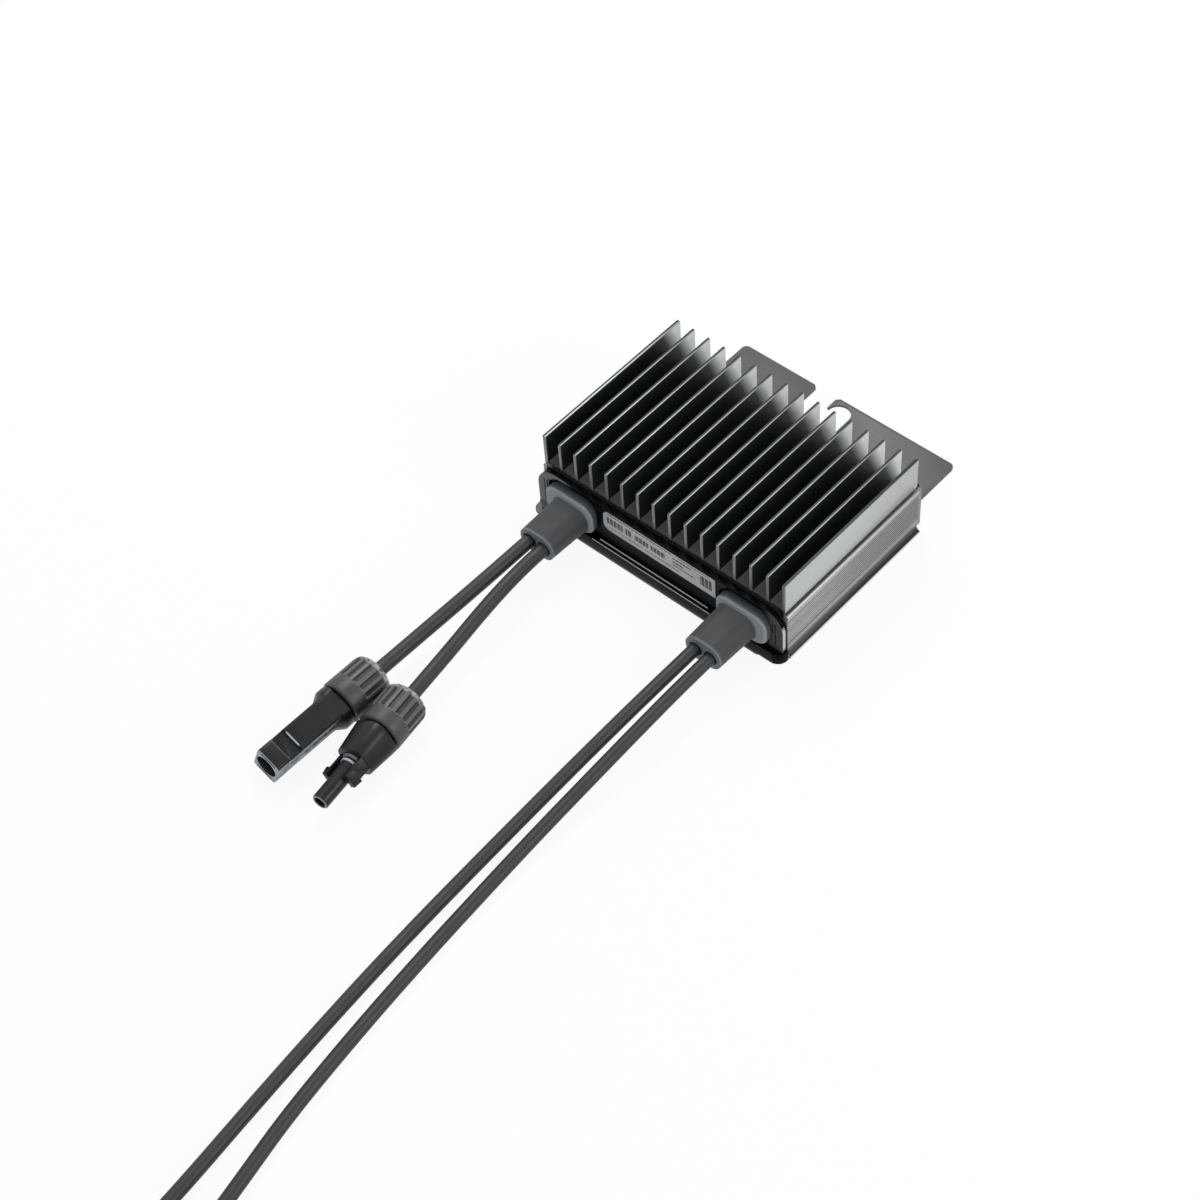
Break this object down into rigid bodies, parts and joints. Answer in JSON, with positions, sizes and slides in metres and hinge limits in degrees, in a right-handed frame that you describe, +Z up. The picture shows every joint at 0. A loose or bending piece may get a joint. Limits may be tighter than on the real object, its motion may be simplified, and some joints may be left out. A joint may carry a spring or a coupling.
{
  "type": "power optimizer",
  "caption": "Solar power optimizer: finned aluminium body on a steel bracket with a hooked slot, rubber boots and leads with latching connectors.",
  "frame": {"origin": "underside of the mounting bracket, on the body's middle line, halfway between the ends of the boots and the bracket's rear edge", "axes": "+X across the fins, from the input leads to the output leads; +Y along the fins, away from the leads, towards the bracket's hooked slot; +Z up from the bracket"},
  "size_m": [0.2093, 0.5572, 0.0434],
  "materials": {
    "anodised_aluminium": "clear anodised extrusion, faint grain along the length",
    "stainless_sheet": "plain rolled stainless sheet",
    "bright_rivet": "bright steel",
    "gloss_black_plastic": "smooth moulded, glossy",
    "aluminium_sheet": "mill finish",
    "seal_rubber": "matte",
    "label_film": "satin grey film with plain fields of tone",
    "boot_rubber": "matte moulded rubber",
    "cable_jacket": "satin cable jacket",
    "terminal_brass": "plain",
    "board_green": "solder mask",
    "component_black": "matte moulded",
    "pad_grey": "soft pad",
    "ferrite": "sintered ferrite",
    "winding_copper": "enamelled copper",
    "capacitor_silver": "drawn can",
    "film_box": "moulded box",
    "potting_compound": "cast compound",
    "connector_nut": "fine-grained moulded",
    "connector_body": "smooth moulded",
    "contact_metal": "tin-plated copper",
    "seal_pale": "pale silicone"
  },
  "bodies": {
    "root": {"base_cover": "aluminium_sheet", "bracket_rivets": "bright_rivet", "circuit_board": "board_green", "control_chip": "component_black", "film_capacitor": "film_box", "filter_capacitors": "capacitor_silver", "front_cover": "gloss_black_plastic", "front_gasket": "seal_rubber", "heat_sink": "anodised_aluminium", "inductor_core": "ferrite", "inductor_winding": "winding_copper", "input_cable_left": "cable_jacket", "input_cable_right": "cable_jacket", "input_plug_contact": "contact_metal", "input_plug_gland_nut": "connector_nut", "input_plug_grommet": "seal_rubber", "input_plug_housing": "connector_body", "input_plug_seal": "seal_pale", "input_socket_contact": "contact_metal", "input_socket_gland_nut": "connector_nut", "input_socket_grommet": "seal_rubber", "input_socket_housing": "connector_body", "label_plate": "label_film", "lead_terminals": "terminal_brass", "left_boot": "boot_rubber", "left_lead_ends": "cable_jacket", "mounting_bracket": "stainless_sheet", "output_cable_left": "cable_jacket", "output_cable_right": "cable_jacket", "output_coil_left": "cable_jacket", "output_coil_right": "cable_jacket", "output_plug_contact": "contact_metal", "output_plug_gland_nut": "connector_nut", "output_plug_grommet": "seal_rubber", "output_plug_housing": "connector_body", "output_plug_seal": "seal_pale", "output_socket_contact": "contact_metal", "output_socket_gland_nut": "connector_nut", "output_socket_grommet": "seal_rubber", "output_socket_housing": "connector_body", "output_tail_left": "cable_jacket", "output_tail_right": "cable_jacket", "potting_block": "potting_compound", "power_transistors": "component_black", "rear_cover": "gloss_black_plastic", "rear_gasket": "seal_rubber", "right_boot": "boot_rubber", "right_lead_ends": "cable_jacket", "thermal_pad": "pad_grey"}
  },
  "joints": []
}
